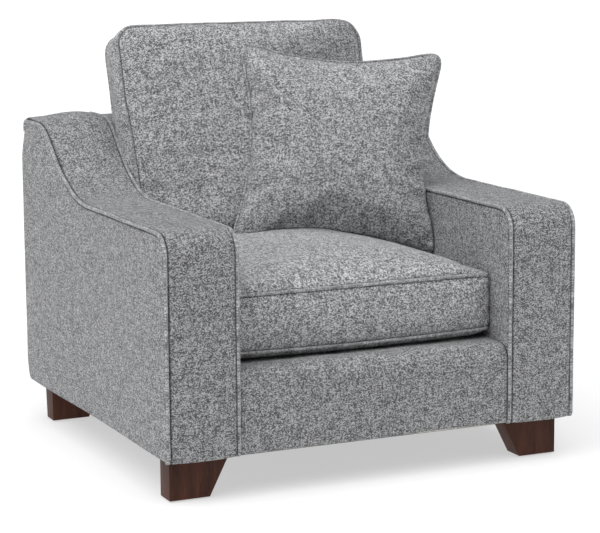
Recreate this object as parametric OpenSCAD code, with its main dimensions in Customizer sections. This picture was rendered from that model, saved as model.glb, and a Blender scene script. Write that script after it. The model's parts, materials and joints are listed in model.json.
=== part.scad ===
// Upholstered armchair: track arms with a swept rise to the back, loose box cushions and a throw
// pillow. Millimetres. The origin is on the floor under the middle of the chair, +X to the right
// as seen from the front, the front faces -Y, +Z is up. Left and right are as seen from the front.

/* [Overall] */
// Width over the arms
overall_w = 1040; // [980:10:1100]
// Depth from the arm fronts to the outside back
overall_d = 988; // [970:2:1030]
// Gap between the floor and the upholstered body
leg_h = 101; // [80:1:130]

/* [Arms] */
// Width of one arm
arm_w = 175; // [150:5:200]
// Height of the level part of the arms
arm_h = 614; // [600:2:630]
// Height of the arms and of the back frame at the rear
rear_h = 784; // [770:2:810]
// Where the top of the arm starts to climb, measured back from the middle of the chair
rise_y = 25; // [0:5:30]
// Slope of the straight stretch of the climb, in degrees
rise_angle = 41; // [36:1:42]
// Radius of the hollow at the foot of the climb
dip_r = 320; // [280:5:330]
// Radius of the crest at the head of the climb
crest_r = 130; // [100:5:140]
// Radius of the front top corner of the arm
front_r = 50; // [30:5:60]
// Radius of the rear top corner of the arm
tail_r = 12; // [8:1:16]
// Radius of the rear bottom corner of the arm
heel_r = 28; // [20:1:34]

/* [Upholstery] */
// Thickness of the woven cover with its backing
cloth = 2.5; // [2:0.5:3]
// Radius of the self-covered welt cord
welt_r = 4.5; // [4:0.5:5]
// Thickness of the padding over the top and front of the arms
arm_pad = 12; // [10:1:14]
// Thickness of the padding on the sides of the arms
side_pad = 10; // [8:1:12]
// Thickness of the foam on the inside back
back_pad = 23; // [18:1:26]

/* [Seat] */
// Height of the seat deck
deck_z = 292.5; // [285:0.5:300]
// How far the front rail stands back from the arm fronts
rail_setback = 5; // [3:1:10]
// Radius of the rolled top edge of the front rail
rail_roll_r = 40; // [30:1:45]
// Where the front of the seat cushion lies
seat_front_y = -405; // [-415:1:-395]
// Height of the seat cushion's boxing
seat_boxing = 140; // [130:1:150]
// Height of the seat cushion's crown above its top welt
seat_crown = 62; // [50:1:66]

/* [Back] */
// Lean of the inside back, in degrees from upright
recline = 15.5; // [14:0.5:16]
// Where the inside back meets the deck
back_foot_y = 205; // [200:1:208]
// Thickness of the back cushion's boxing
back_boxing = 130; // [120:1:135]
// Crown of the back cushion's front face
back_crown = 55; // [40:1:60]
// Height of the back cushion along its lean
back_cushion_l = 532; // [510:1:532]

/* [Pillow] */
// Side of the throw pillow's filled square
pillow_side = 450; // [420:5:460]
// Thickness of the pillow in its middle
pillow_t = 140; // [120:5:150]
// Middle of the pillow
pillow_at = [134, 26, 738]; // [20:1:800]
// Turn of the pillow towards the left, lean and roll, in degrees
pillow_turn = [16, 19, 4.5]; // [0:0.5:20]

/* [Legs] */
// Width of a leg at the floor
leg_foot_w = 98; // [80:2:110]
// Width of a leg where it meets the body
leg_top_w = 148; // [130:2:150]
// Thickness of a leg
leg_t = 58; // [50:1:64]
// Distance of the leg from the side of the arm
leg_side_inset = 20; // [15:1:30]
// Distance of the leg from the front or the back of the chair
leg_end_inset = 46; // [40:1:55]

/* [Hidden] */

// colours
cloth_grey = [0.60, 0.60, 0.61];
welt_grey = [0.50, 0.50, 0.52];
espresso = [0.17, 0.09, 0.07];
plywood = [0.80, 0.66, 0.46];
hardwood = [0.72, 0.55, 0.36];
foam_white = [0.93, 0.91, 0.85];
felt_black = [0.12, 0.12, 0.13];
steel = [0.66, 0.67, 0.69];
nylon = [0.25, 0.25, 0.27];

over = 1;        // how far a cutting shape runs past what it cuts
gap = 0.5;       // clearance between a loose piece and its neighbours
arc_steps = 8;   // segments in each drawn arc
no_r = 0.5;      // smallest radius that an inset corner keeps
joint_gap = 0.5; // room left where foam meets foam, a cord or its cover

half_w = overall_w / 2;
half_d = overall_d / 2;
inner_x = half_w - arm_w;          // inner face of the right arm
welt_d = 2 * welt_r;
base_z = leg_h + 1.5;              // top of the dust cover, where the frame starts
pad_in = cloth + arm_pad;          // depth of the frame below the arm's top and front
side_in = cloth + side_pad;        // depth of the frame below the arm's sides
ply = 15;
board = 22;
wide_in = -over;                   // negative inset: an outline that runs past the arm

climb = rear_h - arm_h;
ramp = (climb - (dip_r + crest_r) * (1 - cos(rise_angle))) / sin(rise_angle);
crest_y = rise_y + (dip_r + crest_r) * sin(rise_angle) + ramp * cos(rise_angle);

// points of an arc about c in the plane of a side view
function arc(c, r, from, to) =
    [for (i = [0:arc_steps]) let (a = from + (to - from) * i / arc_steps) c + r * [cos(a), sin(a)]];

// side outline of an arm, inset by d along the front and top and by e at the rear, down to height b
function arm_outline(d, e, b) =
    let (tail = max(tail_r - max(d, e), no_r), heel = max(heel_r - max(e, 0), no_r))
    concat(
        [[-half_d + d, b]],
        arc([-half_d + front_r, arm_h - front_r], front_r - d, 180, 90),
        arc([rise_y, arm_h + dip_r], dip_r + d, -90, -90 + rise_angle),
        arc([crest_y, rear_h - crest_r], crest_r - d, 90 + rise_angle, 90),
        arc([half_d - e - tail, rear_h - d - tail], tail, 90, 0),
        arc([half_d - e - heel, b + heel], heel, 0, -90)
    );

// extrudes a side view (y, z) from x = from to x = to
module across(from, to)
    translate([from, 0, 0])
    rotate([90, 0, 90])
    linear_extrude(to - from)
    children();

// extrudes a front view (x, z) from y = from to y = to
module along(from, to)
    translate([0, to, 0])
    rotate([90, 0, 0])
    linear_extrude(to - from)
    children();

module block(low, high)
    translate(low)
    cube(high - low);

module on_left()
    mirror([1, 0, 0])
    children();

// ---- arms ----

module arm_side_cover(x0, rear_inset, low)
    color(cloth_grey)
    across(x0, x0 + cloth)
    polygon(arm_outline(welt_d, rear_inset, low));

module arm_outer_cover() arm_side_cover(half_w - cloth, 0, leg_h);
module arm_inner_cover() arm_side_cover(inner_x, cloth, base_z);

// cover of the arm's top, which runs on over the front corner and down the front
module arm_band()
    color(cloth_grey)
    across(inner_x + welt_d, half_w - welt_d)
    difference() {
        polygon(arm_outline(0, cloth, leg_h));
        polygon(arm_outline(cloth, wide_in, leg_h - over));
    }

// cord along the edge of the band: up the front, over the corner and along the swept top
module arm_welt(x)
    color(welt_grey)
    translate([x, 0, 0])
    rotate([90, 0, 90]) {
        front_y = -half_d + welt_r;
        cord_line([front_y, leg_h], [front_y, arm_h - front_r]);
        cord_arc([-half_d + front_r, arm_h - front_r], front_r - welt_r, 90, 90);
        cord_line([-half_d + front_r, arm_h - welt_r], [rise_y, arm_h - welt_r]);
        cord_arc([rise_y, arm_h + dip_r], dip_r + welt_r, -90, rise_angle);
        ramp_start = [rise_y, arm_h + dip_r] + (dip_r + welt_r) * [sin(rise_angle), -cos(rise_angle)];
        cord_line(ramp_start, ramp_start + ramp * [cos(rise_angle), sin(rise_angle)]);
        cord_arc([crest_y, rear_h - crest_r], crest_r - welt_r, 90, rise_angle);
        cord_line([crest_y, rear_h - welt_r], [half_d - tail_r, rear_h - welt_r]);
    }

// straight cord in the XY plane
module cord_line(p, q)
    translate([p.x, p.y, 0])
    rotate([0, 0, atan2(q.y - p.y, q.x - p.x)])
    rotate([0, 90, 0])
    cylinder(r = welt_r, h = norm(q - p), $fn = 24);

// curved cord in the XY plane: starts at angle a about c and turns through sweep
module cord_arc(c, r, a, sweep)
    translate([c.x, c.y, 0])
    rotate([0, 0, a])
    rotate_extrude(angle = sweep, $fn = 96)
    translate([r, 0])
    circle(welt_r, $fn = 24);

module arm_outer_welt() arm_welt(half_w - welt_r);
module arm_inner_welt() arm_welt(inner_x + welt_r);

// foam wrapped round the arm's frame, open underneath and at the rear
module arm_foam_wrap()
    difference() {
        union() {
            across(inner_x + welt_d + joint_gap, half_w - welt_d - joint_gap)
                polygon(arm_outline(cloth, cloth, base_z));
            across(inner_x + cloth, half_w - cloth)
                polygon(arm_outline(welt_d + joint_gap, cloth, base_z));
        }
        across(inner_x + side_in, half_w - side_in)
            polygon(arm_outline(pad_in, wide_in, leg_h - over));
    }

// places where the foam of an arm is joined: one level piece, three in the hollow, one at the rear
foam_joints = [
    -half_d, rise_y,
    for (i = [1:3]) rise_y + dip_r * sin(rise_angle * i / 3),
    half_d
];

// the foam of one arm, cut into lengths that follow one another along it
module arm_padding()
    color(foam_white)
    for (i = [0:len(foam_joints) - 2])
        intersection() {
            arm_foam_wrap();
            block([inner_x, foam_joints[i] + joint_gap / 2, 0],
                  [half_w, foam_joints[i + 1] - joint_gap / 2, rear_h]);
        }

module arm_panel(x0)
    color(plywood)
    across(x0, x0 + ply)
    polygon(arm_outline(pad_in, cloth, base_z));

module arm_outer_panel() arm_panel(half_w - side_in - ply);
module arm_inner_panel() arm_panel(inner_x + side_in);

rail_t = 39;                                 // thickness of the arm's base rail
rail_top = base_z + rail_t;
spreader_x = [inner_x + side_in + ply, half_w - side_in - ply];
spreader_t = 40;
spreader_tops = [[-half_d + pad_in, arm_h - 60], [-spreader_t / 2, arm_h - 40], [half_d - 60, rear_h - 30]];

module arm_spreaders()
    color(hardwood)
    for (s = spreader_tops)
        block([spreader_x[0], s[0], rail_top], [spreader_x[1], s[0] + spreader_t, s[1]]);

bolt_x = half_w - leg_side_inset - 68;       // line of the leg bolts
bolt_y = half_d - leg_end_inset - leg_t / 2;
bolt_r = 4;
bolt_hole_r = 4.2;

module arm_base_rail()
    color(hardwood)
    difference() {
        block([spreader_x[0], -half_d + pad_in, base_z], [spreader_x[1], half_d - heel_r - 12, rail_top]);
        for (side = [-1, 1])
            translate([bolt_x, side * bolt_y, base_z - over])
                cylinder(r = bolt_hole_r, h = rail_t + 2 * over, $fn = 32);
    }

// ---- seat frame ----

rail_face_y = -half_d + rail_setback;        // face of the front rail's cover
rail_pad = 8;
rail_y = rail_face_y + cloth + rail_pad;
rail_board_top = 250;
lip_y = -420;                                // where the rail's cover ends on the deck
rear_rail_y = back_foot_y + 2;
cleat_z = 215;

// side view of the front rail with its rolled top, inset by d
function rail_outline(d, end_y, b) =
    concat(
        [[rail_face_y + d, b]],
        arc([rail_face_y + rail_roll_r, deck_z - rail_roll_r], rail_roll_r - d, 180, 90),
        [[end_y, deck_z - d], [end_y, b]]
    );

module front_rail_cover()
    color(cloth_grey)
    across(-inner_x, inner_x)
    difference() {
        polygon(rail_outline(0, lip_y, leg_h));
        polygon(rail_outline(cloth, lip_y + over, leg_h - over));
    }

module front_rail_padding()
    color(foam_white)
    across(-inner_x, inner_x)
    difference() {
        polygon(rail_outline(cloth, lip_y - 10, base_z));
        translate([rail_y, 0])
            square([lip_y - rail_y, deck_pad_z]);
    }

module front_rail()
    color(hardwood)
    block([-inner_x, rail_y, base_z], [inner_x, rail_y + board, rail_board_top]);

module rear_rail()
    color(hardwood)
    block([-inner_x, rear_rail_y, base_z], [inner_x, rear_rail_y + board, rail_board_top]);

module side_rail()
    color(hardwood)
    block([inner_x - board, rail_y + board, cleat_z], [inner_x, rear_rail_y, rail_board_top]);

block_leg = 70;

module corner_block()
    translate([inner_x - board, rear_rail_y, cleat_z])
    linear_extrude(rail_board_top - cleat_z)
    polygon([[0, 0], [-block_leg, 0], [0, -block_leg]]);

module corner_blocks()
    color(hardwood)
    for (side = [0, 1])
        mirror([side, 0, 0]) {
            corner_block();
            translate([0, rail_y + board + rear_rail_y, 0])
                mirror([0, 1, 0])
                corner_block();
        }

wire_r = 2;
spring_z = 256;                              // middle of the spring wire
spring_pitch = 48;
spring_bend = spring_pitch / 4;
spring_half = 20;                            // half the length of the straight bars
spring_bars = 28;
spring_xs = [-248, -124, 0, 124, 248];
spring_y0 = rail_y + 10;
spring_step = (rear_rail_y + 12 - spring_y0) / (spring_bars - 1);

// one sinuous spring: bars across the seat joined by half turns, alternately left and right
module sinuous_spring()
    linear_extrude(2 * wire_r) {
        for (i = [0:spring_bars - 1])
            translate([-spring_half, i * spring_step - wire_r])
                square([2 * spring_half, 2 * wire_r]);
        for (i = [0:spring_bars - 2])
            translate([(i % 2 == 0 ? 1 : -1) * spring_half, (i + 0.5) * spring_step])
                intersection() {
                    difference() {
                        circle(spring_step / 2 + wire_r, $fn = 32);
                        circle(spring_step / 2 - wire_r, $fn = 32);
                    }
                    translate([i % 2 == 0 ? 0 : -spring_pitch, -spring_pitch / 2])
                        square(spring_pitch);
                }
    }

module seat_springs()
    color(steel)
    for (x = spring_xs)
        translate([x, spring_y0, spring_z - wire_r])
            sinuous_spring();

clip_w = 22;
clip_t = 2;

// bent steel clip that wraps the end bar of a spring on top of its rail
module spring_clip()
    rotate([90, 0, 90])
    linear_extrude(clip_w, center = true)
    difference() {
        translate([-6, rail_board_top])
            square([12, spring_z + wire_r + clip_t - rail_board_top]);
        translate([-wire_r, spring_z - wire_r])
            square([6 + over + wire_r, 2 * wire_r]);
    }

module spring_clips()
    color(steel)
    for (x = spring_xs) {
        translate([x, spring_y0, 0])
            spring_clip();
        translate([x, spring_y0 + (spring_bars - 1) * spring_step, 0])
            mirror([0, 1, 0])
            spring_clip();
    }

deck_pad_z = spring_z + wire_r + clip_t + 1;

module deck_pad()
    color(felt_black)
    block([-inner_x, lip_y - 10, deck_pad_z], [inner_x, back_foot_y - 3, deck_z - cloth]);

module deck_cover()
    color(cloth_grey)
    block([-inner_x, lip_y, deck_z - cloth], [inner_x, back_foot_y - 3, deck_z]);

// ---- back frame ----

lean = tan(recline);
back_round = 34;                             // rounding where the inside back meets its top

// side view of the back, inset by d along the lean and by t on top, from height b to the rear cover
function back_outline(d, t, b) =
    let (
        foot = back_foot_y + d / cos(recline),
        r = max(back_round - d, no_r),
        top = rear_h - t,
        c = [foot + (top - r - deck_z) * lean + r / cos(recline), top - r]
    )
    concat(
        [[foot + (b - deck_z) * lean, b]],
        arc(c, r, 180 - recline, 90),
        [[half_d - cloth, top], [half_d - cloth, b]]
    );

strap_t = 2;
frame_in = cloth + back_pad + strap_t;

module inside_back_cover()
    color(cloth_grey)
    across(-inner_x, inner_x)
    difference() {
        polygon(back_outline(0, 0, deck_z - cloth));
        polygon(back_outline(cloth, cloth, deck_z - 2 * cloth));
        translate([half_d - cloth - tail_r, rear_h - tail_r])
            difference() {
                square(tail_r + over);
                circle(tail_r, $fn = 48);
            }
    }

module back_padding()
    color(foam_white)
    across(-inner_x, inner_x)
    difference() {
        polygon(back_outline(cloth + joint_gap, cloth + joint_gap, deck_z));
        polygon(back_outline(cloth + back_pad, pad_in, deck_z - over));
        translate([half_d - 2 * tail_r, 0])
            square([2 * tail_r, rear_h]);
    }

panel_foot_y = rear_rail_y + board;

module back_side_panel()
    color(plywood)
    across(inner_x - ply, inner_x)
    polygon(concat(
        [[panel_foot_y, base_z], [panel_foot_y, deck_z - 2 * ply]],
        back_outline(frame_in, pad_in, deck_z),
        [[half_d - cloth, base_z + heel_r], [half_d - cloth - heel_r, base_z]]
    ));

module back_top_rail()
    color(hardwood)
    block([ply - inner_x, half_d - cloth - 90, rear_h - pad_in - 30],
          [inner_x - ply, half_d - cloth, rear_h - pad_in]);

lower_rail_z = 262;

module back_lower_rail()
    color(hardwood)
    block([ply - inner_x, panel_foot_y + 20, lower_rail_z],
          [inner_x - ply, panel_foot_y + 20 + board, lower_rail_z + 56]);

strap_w = 50;
strap_pitch = 88;
strap_count = 5;
strap_first = 60;                            // distance of the first strap up the lean from the deck

// elastic straps across the inside back, stapled to the front edges of the side panels
module back_webbing()
    color(felt_black)
    translate([0, back_foot_y, deck_z])
    rotate([-recline, 0, 0])
    for (i = [0:strap_count - 1])
        block([-inner_x, frame_in - strap_t, strap_first + i * strap_pitch],
              [inner_x, frame_in, strap_first + i * strap_pitch + strap_w]);

module outside_back_cover()
    color(cloth_grey)
    intersection() {
        across(cloth - half_w, half_w - cloth)
            difference() {
                polygon(arm_outline(0, 0, leg_h));
                polygon(arm_outline(wide_in, cloth, base_z));
            }
        block([-half_w, half_d - heel_r, leg_h - over], [half_w, half_d + over, rear_h]);
    }

module dust_cover()
    color(felt_black)
    difference() {
        block([cloth - half_w, welt_d - half_d, leg_h], [half_w - cloth, half_d - heel_r, base_z]);
        for (side_x = [-1, 1], side_y = [-1, 1])
            translate([side_x * bolt_x, side_y * bolt_y, leg_h - over])
                cylinder(r = bolt_hole_r, h = 4 * over, $fn = 32);
    }

// ---- legs ----

glide_t = 3;
bolt_low = leg_h - 45;
bolt_high = rail_top + 3;
leg_x1 = half_w - leg_side_inset;

// block leg of the right side: upright outside, slanted inside, drilled for its bolt
module leg_body(foot_t)
    color(espresso)
    difference() {
        intersection() {
            along(half_d - leg_end_inset - leg_t, half_d - leg_end_inset)
                polygon([
                    [leg_x1 - leg_foot_w, glide_t], [leg_x1, glide_t],
                    [leg_x1, leg_h], [leg_x1 - leg_top_w, leg_h]
                ]);
            across(leg_x1 - leg_top_w, leg_x1)
                translate([half_d - leg_end_inset - leg_t, 0])
                polygon([[0, glide_t], [foot_t, glide_t], [leg_t, leg_h], [0, leg_h]]);
        }
        translate([bolt_x, bolt_y, bolt_low])
            cylinder(r = bolt_hole_r, h = leg_h, $fn = 32);
    }

module rear_leg() leg_body(leg_t - 9);
module front_leg()
    mirror([0, 1, 0])
    leg_body(leg_t);

module leg_bolts()
    color(steel)
    for (side_x = [-1, 1], side_y = [-1, 1])
        translate([side_x * bolt_x, side_y * bolt_y, bolt_low])
            cylinder(r = bolt_r, h = bolt_high - bolt_low, $fn = 32);

tee_r = 11;
tee_t = 2;

module leg_tee_nuts()
    color(steel)
    for (side_x = [-1, 1], side_y = [-1, 1])
        translate([side_x * bolt_x, side_y * bolt_y, rail_top])
            difference() {
                cylinder(r = tee_r, h = tee_t, $fn = 32);
                translate([0, 0, -over])
                    cylinder(r = bolt_hole_r, h = tee_t + 2 * over, $fn = 32);
            }

glide_r = 11;
glide_x = leg_x1 - leg_foot_w / 2;

module leg_glides()
    color(nylon)
    for (side_x = [-1, 1], side_y = [-1, 1], end = [-1, 1])
        translate([side_x * (glide_x + end * leg_foot_w / 4), side_y * bolt_y, 0])
            cylinder(r = glide_r, h = glide_t, $fn = 32);

// ---- seat cushion ----

seat_low = deck_z + gap;
seat_half = inner_x - 0.7;
seat_rear_y = back_foot_y - 1;
seat_welt_low = seat_low + 19;               // bottom of the boxing
seat_welt_high = seat_welt_low + seat_boxing;
seat_high = seat_welt_high + seat_crown;
seat_rear_z = seat_welt_high + 26;           // top of its rear edge, under the back cushion
seat_corner_r = 26;

// radius of the arc that rises h over a half chord c
function crown_r(c, h) = (c * c + h * h) / (2 * h);

// front view of the cushion, inset by d
module seat_front_view(d)
    intersection() {
        translate([0, seat_high - crown_r(seat_half, seat_crown)])
            circle(crown_r(seat_half, seat_crown) - d, $fn = 360);
        polygon([
            [seat_half - d, seat_high], [d - seat_half, seat_high],
            [d - seat_half, seat_welt_low + d], [d - seat_half + 24, seat_low + d],
            [seat_half - d - 24, seat_low + d], [seat_half - d, seat_welt_low + d]
        ]);
    }

// side view of the cushion, inset by d
module seat_side_view(d)
    polygon([
        [seat_front_y + d, seat_welt_low + d], [seat_front_y + d, seat_welt_high - d],
        [seat_front_y + 30, seat_welt_high + 26 - d], [seat_front_y + 75, seat_welt_high + 48 - d],
        [seat_front_y + 145, seat_high - d], [-20, seat_high - d],
        [seat_rear_y - d, seat_rear_z - d], [seat_rear_y - d, seat_welt_low + d],
        [seat_rear_y - 24 - d, seat_low + d], [seat_front_y + 24 + d, seat_low + d]
    ]);

module seat_solid(d)
    intersection() {
        along(seat_front_y, seat_rear_y)
            seat_front_view(d);
        across(-inner_x, inner_x)
            seat_side_view(d);
        plan_block([-seat_half + d, seat_front_y + d], [seat_half - d, seat_rear_y - d], seat_corner_r - d);
    }

// block with round upright corners
module plan_block(low, high, r)
    linear_extrude(rear_h)
    rounded(low, high, r);

// rectangle with round corners
module rounded(low, high, r) {
    translate([low.x + r, low.y])
        square([high.x - low.x - 2 * r, high.y - low.y]);
    translate([low.x, low.y + r])
        square([high.x - low.x, high.y - low.y - 2 * r]);
    for (x = [low.x + r, high.x - r], y = [low.y + r, high.y - r])
        translate([x, y])
            circle(r, $fn = 48);
}

seat_inset = 2 * cloth;                      // the cover's seams stand this far over the foam
welt_ledge = 3;                              // how far the cushion welts stand into the cover

// groove for the welts round the cushion, which the cords then fill
module seat_welt_rings(r)
    for (z = [seat_welt_low, seat_welt_high])
        translate([0, 0, z - r])
            linear_extrude(2 * r)
            difference() {
                rounded([-seat_half, seat_front_y], [seat_half, seat_rear_y], seat_corner_r);
                rounded([welt_ledge - seat_half, seat_front_y + welt_ledge],
                        [seat_half - welt_ledge, seat_rear_y - welt_ledge], seat_corner_r - welt_ledge);
            }

zip_l = 420;
zip_w = 9;
zip_t = 2;

module seat_zip_shape()
    block([-zip_l / 2, seat_rear_y - zip_t, seat_welt_low + 60],
          [zip_l / 2, seat_rear_y, seat_welt_low + 60 + zip_w]);

module seat_cushion_cover()
    color(cloth_grey)
    difference() {
        seat_solid(0);
        seat_solid(seat_inset);
        seat_welt_rings(cloth);
        seat_zip_shape();
    }

module seat_cushion_foam()
    color(foam_white)
    seat_solid(seat_inset);

module seat_cushion_welts()
    color(welt_grey)
    intersection() {
        seat_welt_rings(cloth);
        seat_solid(0);
    }

module seat_cushion_zip()
    color(nylon)
    seat_zip_shape();

// ---- back cushion ----

// the cushion is drawn lying in its own axes: x across, y from the rear face forwards as -y,
// z up the lean, and then leans on the inside back
module leaned()
    translate([0, back_foot_y - gap, deck_z])
    rotate([-recline, 0, 0])
    children();

back_half = inner_x - 0.7;
back_top_s = 712;                            // top of the cushion, up the lean from the deck
back_low_s = back_top_s - back_cushion_l;    // underside of the cushion, up the lean from the deck
back_corner_r = 50;
back_nose_r = 60;
back_shoulder = 1.5;                         // the round corners end in a slight edge at the top

module back_plan_view(d)
    intersection() {
        translate([0, crown_r(back_half, back_crown) - back_boxing - back_crown])
            circle(crown_r(back_half, back_crown) - d, $fn = 360);
        translate([d - back_half, -back_boxing - back_crown])
            square([2 * (back_half - d), back_boxing + back_crown - d]);
    }

module back_front_view(d) {
    low = back_low_s + d;
    high = back_top_s + back_shoulder;
    translate([d - back_half, low])
        square([2 * (back_half - d), high - back_corner_r - low]);
    translate([back_corner_r - back_half, low])
        square([2 * (back_half - back_corner_r), high - d - low]);
    for (side = [-1, 1])
        translate([side * (back_half - back_corner_r), high - back_corner_r])
            circle(back_corner_r - d, $fn = 64);
}

module back_side_view(d) {
    front = back_boxing + back_crown;
    translate([-front + d, 0])
        square([front - 2 * d, back_top_s - back_nose_r]);
    translate([back_nose_r - front, 0])
        square([front - back_nose_r - d, back_top_s - d]);
    translate([back_nose_r - front, back_top_s - back_nose_r])
        circle(back_nose_r - d, $fn = 64);
}

module back_solid(d)
    leaned()
    intersection() {
        linear_extrude(back_top_s)
            back_plan_view(d);
        along(-back_boxing - back_crown, 0)
            back_front_view(d);
        across(-inner_x, inner_x)
            back_side_view(d);
    }

back_inset = 2 * cloth;
front_welt_y = -back_boxing;

// cords round the front and rear faces of the cushion
module back_welt_rings()
    leaned()
    for (y = [front_welt_y, -2 * cloth])
        along(y - cloth, y + cloth)
            difference() {
                back_front_view(0);
                back_front_view(welt_ledge);
            }

module back_zip_shape()
    leaned()
    block([-zip_l / 2, -back_boxing / 2, back_low_s],
          [zip_l / 2, zip_w - back_boxing / 2, back_low_s + zip_t]);

module back_cushion_cover()
    color(cloth_grey)
    difference() {
        back_solid(0);
        back_solid(back_inset);
        back_welt_rings();
        back_zip_shape();
    }

module back_cushion_fill()
    color(foam_white)
    back_solid(back_inset);

module back_cushion_welts()
    color(welt_grey)
    intersection() {
        back_welt_rings();
        back_solid(0);
    }

module back_cushion_zip()
    color(nylon)
    back_zip_shape();

// ---- throw pillow ----

// the pillow is drawn upright about its middle, facing -Y
module posed()
    translate(pillow_at)
    rotate([0, 0, -pillow_turn[0]])
    rotate([-pillow_turn[1], 0, 0])
    rotate([0, pillow_turn[2], 0])
    children();

pillow_half = pillow_side / 2;
pillow_edge_t = 16;                          // thickness at the corners
pillow_ball_r = crown_r(pillow_half * sqrt(2), (pillow_t - pillow_edge_t) / 2);
pillow_corner_r = 30;

module pillow_outline(d)
    along(-pillow_t, pillow_t)
    rounded([d - pillow_half, d - pillow_half], [pillow_half - d, pillow_half - d], pillow_corner_r - d);

module pillow_solid(d)
    intersection() {
        pillow_outline(d);
        for_each_face()
            translate([0, pillow_ball_r - pillow_t / 2, 0])
            sphere(pillow_ball_r - d, $fn = 200);
    }

// intersects the shape drawn for the front face with its mirror image for the rear face
module for_each_face()
    intersection() {
        children();
        mirror([0, 1, 0])
            children();
    }

piping_t = 5;

module pillow_piping_shape()
    along(-piping_t / 2, piping_t / 2)
    difference() {
        rounded([-pillow_half, -pillow_half], [pillow_half, pillow_half], pillow_corner_r);
        rounded([welt_ledge - pillow_half, welt_ledge - pillow_half],
                [pillow_half - welt_ledge, pillow_half - welt_ledge], pillow_corner_r - welt_ledge);
    }

pillow_zip_l = 300;

module pillow_zip_shape()
    block([-pillow_zip_l / 2, piping_t, -pillow_half],
          [pillow_zip_l / 2, piping_t + zip_w, zip_t - pillow_half]);

module pillow_cover()
    color(cloth_grey)
    posed()
    difference() {
        pillow_solid(0);
        pillow_solid(2 * cloth);
        pillow_piping_shape();
        pillow_zip_shape();
    }

module pillow_insert()
    color(foam_white)
    posed()
    pillow_solid(2 * cloth);

module pillow_piping()
    color(welt_grey)
    posed()
    pillow_piping_shape();

module pillow_zip()
    color(nylon)
    posed()
    pillow_zip_shape();

on_left() arm_outer_cover();  // arm_outer_cover_left
arm_outer_cover();  // arm_outer_cover_right
on_left() arm_inner_cover();  // arm_inner_cover_left
arm_inner_cover();  // arm_inner_cover_right
on_left() arm_band();  // arm_band_left
arm_band();  // arm_band_right
on_left() arm_outer_welt();  // arm_outer_welt_left
arm_outer_welt();  // arm_outer_welt_right
on_left() arm_inner_welt();  // arm_inner_welt_left
arm_inner_welt();  // arm_inner_welt_right
on_left() arm_padding();  // arm_padding_left
arm_padding();  // arm_padding_right
on_left() arm_outer_panel();  // arm_outer_panel_left
arm_outer_panel();  // arm_outer_panel_right
on_left() arm_inner_panel();  // arm_inner_panel_left
arm_inner_panel();  // arm_inner_panel_right
on_left() arm_spreaders();  // arm_spreaders_left
arm_spreaders();  // arm_spreaders_right
on_left() arm_base_rail();  // arm_base_rail_left
arm_base_rail();  // arm_base_rail_right
front_rail();
rear_rail();
on_left() side_rail();  // side_rail_left
side_rail();  // side_rail_right
corner_blocks();
seat_springs();
spring_clips();
deck_pad();
deck_cover();
front_rail_padding();
front_rail_cover();
on_left() back_side_panel();  // back_side_panel_left
back_side_panel();  // back_side_panel_right
back_top_rail();
back_lower_rail();
back_webbing();
back_padding();
inside_back_cover();
outside_back_cover();
dust_cover();
on_left() front_leg();  // leg_front_left
front_leg();  // leg_front_right
on_left() rear_leg();  // leg_rear_left
rear_leg();  // leg_rear_right
leg_bolts();
leg_tee_nuts();
leg_glides();
seat_cushion_cover();
seat_cushion_foam();
seat_cushion_welts();
seat_cushion_zip();
back_cushion_cover();
back_cushion_fill();
back_cushion_welts();
back_cushion_zip();
pillow_cover();
pillow_insert();
pillow_piping();
pillow_zip();
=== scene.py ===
import json
import math

import bpy
import numpy as np
from mathutils import Matrix, Vector, noise
from mathutils.bvhtree import BVHTree
from mathutils.kdtree import KDTree

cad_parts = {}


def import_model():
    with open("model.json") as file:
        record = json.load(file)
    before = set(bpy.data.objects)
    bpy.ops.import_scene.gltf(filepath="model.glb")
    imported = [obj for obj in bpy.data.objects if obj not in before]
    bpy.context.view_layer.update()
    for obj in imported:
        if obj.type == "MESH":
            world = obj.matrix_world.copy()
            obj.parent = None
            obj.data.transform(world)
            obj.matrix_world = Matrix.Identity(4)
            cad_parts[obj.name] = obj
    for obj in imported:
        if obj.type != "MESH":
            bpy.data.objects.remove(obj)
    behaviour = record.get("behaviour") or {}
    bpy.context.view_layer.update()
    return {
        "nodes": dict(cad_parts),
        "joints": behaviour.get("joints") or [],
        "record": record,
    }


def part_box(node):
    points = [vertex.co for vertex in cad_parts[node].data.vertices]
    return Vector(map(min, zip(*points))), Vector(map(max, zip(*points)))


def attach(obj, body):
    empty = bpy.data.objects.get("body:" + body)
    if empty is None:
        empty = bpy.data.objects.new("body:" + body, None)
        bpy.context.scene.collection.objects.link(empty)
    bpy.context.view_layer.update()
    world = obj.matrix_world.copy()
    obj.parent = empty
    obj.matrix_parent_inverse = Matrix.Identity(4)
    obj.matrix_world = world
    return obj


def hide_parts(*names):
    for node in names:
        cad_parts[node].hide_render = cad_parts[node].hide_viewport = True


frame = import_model()
nodes = frame["nodes"]
scene = bpy.context.scene
print("frame loaded:", len(nodes), "nodes")

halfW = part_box("arm_outer_cover_right")[1].x      # outer face of the right arm
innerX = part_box("arm_inner_cover_right")[0].x     # inner face of the right arm
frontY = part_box("arm_band_right")[0].y            # face of the arm fronts
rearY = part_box("outside_back_cover")[1].y         # face of the outside back
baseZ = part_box("dust_cover")[0].z                 # lower edge of the covers
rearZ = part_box("arm_band_right")[1].z             # height of the arms at the rear
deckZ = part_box("deck_cover")[1].z


cameraView = {"target": (0.02818, 0.0, 0.42786), "azimuth": -24.4751, "elevation": 9.7647,
              "roll": -0.3985, "distance": 5.28934, "lens": 127.2}


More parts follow.
